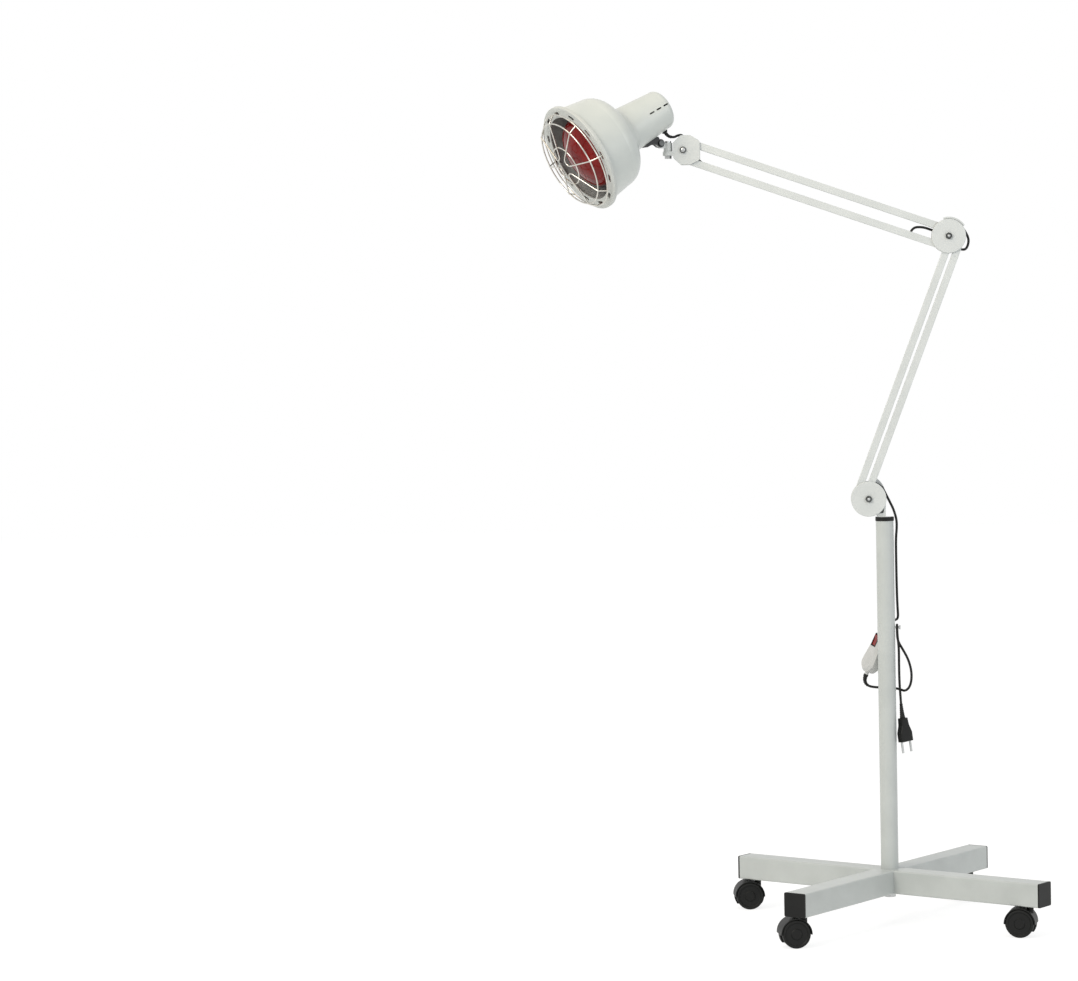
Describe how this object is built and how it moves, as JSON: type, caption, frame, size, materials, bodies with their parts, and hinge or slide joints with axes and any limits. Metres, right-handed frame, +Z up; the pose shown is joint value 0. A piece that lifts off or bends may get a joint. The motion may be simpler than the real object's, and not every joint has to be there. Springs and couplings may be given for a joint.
{
  "type": "infrared heat therapy lamp",
  "caption": "Red reflector heat lamp in a guarded metal shade on a double-bar swing arm, standing on a round column with a four-leg caster base, cord, switch and plug.",
  "frame": {"origin": "on the floor under the column's axis", "axes": "+Z up; the arm lies in the XZ plane and reaches toward -X; the head turns toward -Y"},
  "size_m": [0.8324, 0.5236, 1.4249],
  "materials": {
    "frame_paint": "gloss white powder coat",
    "arm_paint": "gloss white powder coat",
    "shade_paint": "gloss pale grey enamel",
    "rim_paint": "gloss off-white enamel",
    "black_paint": "black satin coat",
    "bright_steel": "zinc plated",
    "wire_plating": "bright plated wire",
    "bulb_glass": "ruby glass face, mirrored cone",
    "cap_brass": "nickel plated brass",
    "porcelain": "glazed ceramic",
    "cord_rubber": "black cord sheath",
    "black_plastic": "moulded, matt",
    "white_plastic": "moulded, gloss",
    "red_plastic": "moulded, gloss"
  },
  "bodies": {
    "stand": {"cross_tube_long": "frame_paint", "cross_tube_front": "frame_paint", "cross_tube_back": "frame_paint", "end_caps": "black_plastic", "hub_bolt": "bright_steel", "column_plug": "black_plastic", "caster_stems": "bright_steel", "column_tube": "frame_paint", "column_collar": "black_plastic", "cord_peg": "bright_steel", "column_cord": "cord_rubber", "plug_cord": "cord_rubber", "base_cord": "cord_rubber", "switch_body": "white_plastic", "switch_frame": "black_plastic", "plug_body": "black_plastic", "plug_pins": "bright_steel"},
    "swivel": {"swivel_spigot": "bright_steel", "base_bracket": "arm_paint", "base_disc": "arm_paint", "base_pivot_pins": "bright_steel", "base_bolt": "bright_steel"},
    "lower_left": {"lower_bar_left": "arm_paint", "lower_bar_left_ends": "white_plastic"},
    "lower_right": {"lower_bar_right": "arm_paint", "lower_bar_right_ends": "white_plastic"},
    "elbow": {"elbow_disc_near": "arm_paint", "elbow_disc_far": "arm_paint", "elbow_pivot_pins": "bright_steel", "elbow_bolt": "bright_steel", "elbow_cord": "cord_rubber"},
    "upper_top": {"upper_bar_top": "arm_paint", "upper_bar_top_ends": "white_plastic"},
    "upper_bottom": {"upper_bar_bottom": "arm_paint", "upper_bar_bottom_ends": "white_plastic"},
    "front": {"front_plate_near": "arm_paint", "front_plate_far": "arm_paint", "front_pivot_pins": "bright_steel", "front_bolt": "bright_steel", "pan_stud": "bright_steel", "head_cord": "cord_rubber"},
    "knuckle": {"knuckle": "arm_paint"},
    "head": {"tilt_screw": "bright_steel", "head_bracket": "black_paint", "shade": "shade_paint", "rim_ring": "rim_paint", "wire_guard": "wire_plating", "bulb": "bulb_glass", "bulb_cap": "cap_brass", "lamp_holder": "porcelain", "head_grommet": "black_plastic"},
    "rocker": {"switch_rocker": "red_plastic"},
    "caster_a": {"caster_a_housing": "black_plastic"},
    "wheels_a": {"caster_a_wheels": "black_plastic"},
    "caster_b": {"caster_b_housing": "black_plastic"},
    "wheels_b": {"caster_b_wheels": "black_plastic"},
    "caster_c": {"caster_c_housing": "black_plastic"},
    "wheels_c": {"caster_c_wheels": "black_plastic"},
    "caster_d": {"caster_d_housing": "black_plastic"},
    "wheels_d": {"caster_d_wheels": "black_plastic"}
  },
  "joints": [
    {"name": "arm_swivel", "type": "hinge", "parent": "stand", "child": "swivel", "pos_m": [0, 0, 0.6951], "axis": [0, 0, 1], "range_deg": [-170, 170], "deforming": ["base_cord"]},
    {"name": "lower_arm", "type": "hinge", "parent": "swivel", "child": "lower_right", "pos_m": [-0.0249, 0, 0.743], "axis": [0, -1, 0], "range_deg": [-10, 90], "deforming": ["base_cord", "elbow_cord"]},
    {"name": "lower_arm_link", "type": "hinge", "parent": "swivel", "child": "lower_left", "pos_m": [-0.0486, 0, 0.7281], "axis": [0, -1, 0], "range_deg": [-11, 91]},
    {"name": "elbow_level", "type": "hinge", "parent": "lower_right", "child": "elbow", "pos_m": [0.1372, 0, 1.1675], "axis": [0, -1, 0], "range_deg": [-91, 11]},
    {"name": "upper_arm", "type": "hinge", "parent": "elbow", "child": "upper_bottom", "pos_m": [0.0991, 0, 1.15505], "axis": [0, -1, 0], "range_deg": [-38, 56], "deforming": ["elbow_cord", "head_cord"]},
    {"name": "upper_arm_link", "type": "hinge", "parent": "elbow", "child": "upper_top", "pos_m": [0.0991, 0, 1.18655], "axis": [0, -1, 0], "range_deg": [-39, 57]},
    {"name": "front_level", "type": "hinge", "parent": "upper_bottom", "child": "front", "pos_m": [-0.3242, 0, 1.30745], "axis": [0, -1, 0], "range_deg": [-57, 39]},
    {"name": "head_pan", "type": "hinge", "parent": "front", "child": "knuckle", "pos_m": [-0.3579, 0, 1.3255], "axis": [0, 0, 1], "range_deg": [-110, 60], "deforming": ["head_cord"]},
    {"name": "head_tilt", "type": "hinge", "parent": "knuckle", "child": "head", "pos_m": [-0.37258, -0.00858, 1.3375], "axis": [0.5045, -0.8634, 0], "range_deg": [-14, 60], "deforming": ["head_cord"]},
    {"name": "rocker_tip", "type": "hinge", "parent": "stand", "child": "rocker", "pos_m": [-0.01549, 0.02275, 0.48152], "axis": [0.4532, -0.866, -0.2113], "range_deg": [-14, 0]},
    {"name": "caster_a_swivel", "type": "hinge", "parent": "stand", "child": "caster_a", "pos_m": [-0.22744, 0.14827, 0.0521], "axis": [0, 0, 1], "continuous": true},
    {"name": "caster_a_roll", "type": "hinge", "parent": "caster_a", "child": "wheels_a", "pos_m": [-0.24332, 0.14632, 0.0235], "axis": [0.1219, -0.9925, 0], "continuous": true},
    {"name": "caster_b_swivel", "type": "hinge", "parent": "stand", "child": "caster_b", "pos_m": [-0.14827, -0.22744, 0.0521], "axis": [0, 0, 1], "continuous": true},
    {"name": "caster_b_roll", "type": "hinge", "parent": "caster_b", "child": "wheels_b", "pos_m": [-0.16392, -0.23077, 0.0235], "axis": [0.2079, -0.9781, 0], "continuous": true},
    {"name": "caster_c_swivel", "type": "hinge", "parent": "stand", "child": "caster_c", "pos_m": [0.22744, -0.14827, 0.0521], "axis": [0, 0, 1], "continuous": true},
    {"name": "caster_c_roll", "type": "hinge", "parent": "caster_c", "child": "wheels_c", "pos_m": [0.21179, -0.14494, 0.0235], "axis": [-0.2079, -0.9781, 0], "continuous": true},
    {"name": "caster_d_swivel", "type": "hinge", "parent": "stand", "child": "caster_d", "pos_m": [0.14827, 0.22744, 0.0521], "axis": [0, 0, 1], "continuous": true},
    {"name": "caster_d_roll", "type": "hinge", "parent": "caster_d", "child": "wheels_d", "pos_m": [0.13231, 0.22856, 0.0235], "axis": [-0.0698, -0.9976, 0], "continuous": true}
  ],
  "couplings": [
    {"joint": "lower_arm_link", "follows": "lower_arm", "ratio": 1},
    {"joint": "elbow_level", "follows": "lower_arm", "ratio": -1},
    {"joint": "upper_arm_link", "follows": "upper_arm", "ratio": 1},
    {"joint": "front_level", "follows": "upper_arm", "ratio": -1}
  ]
}
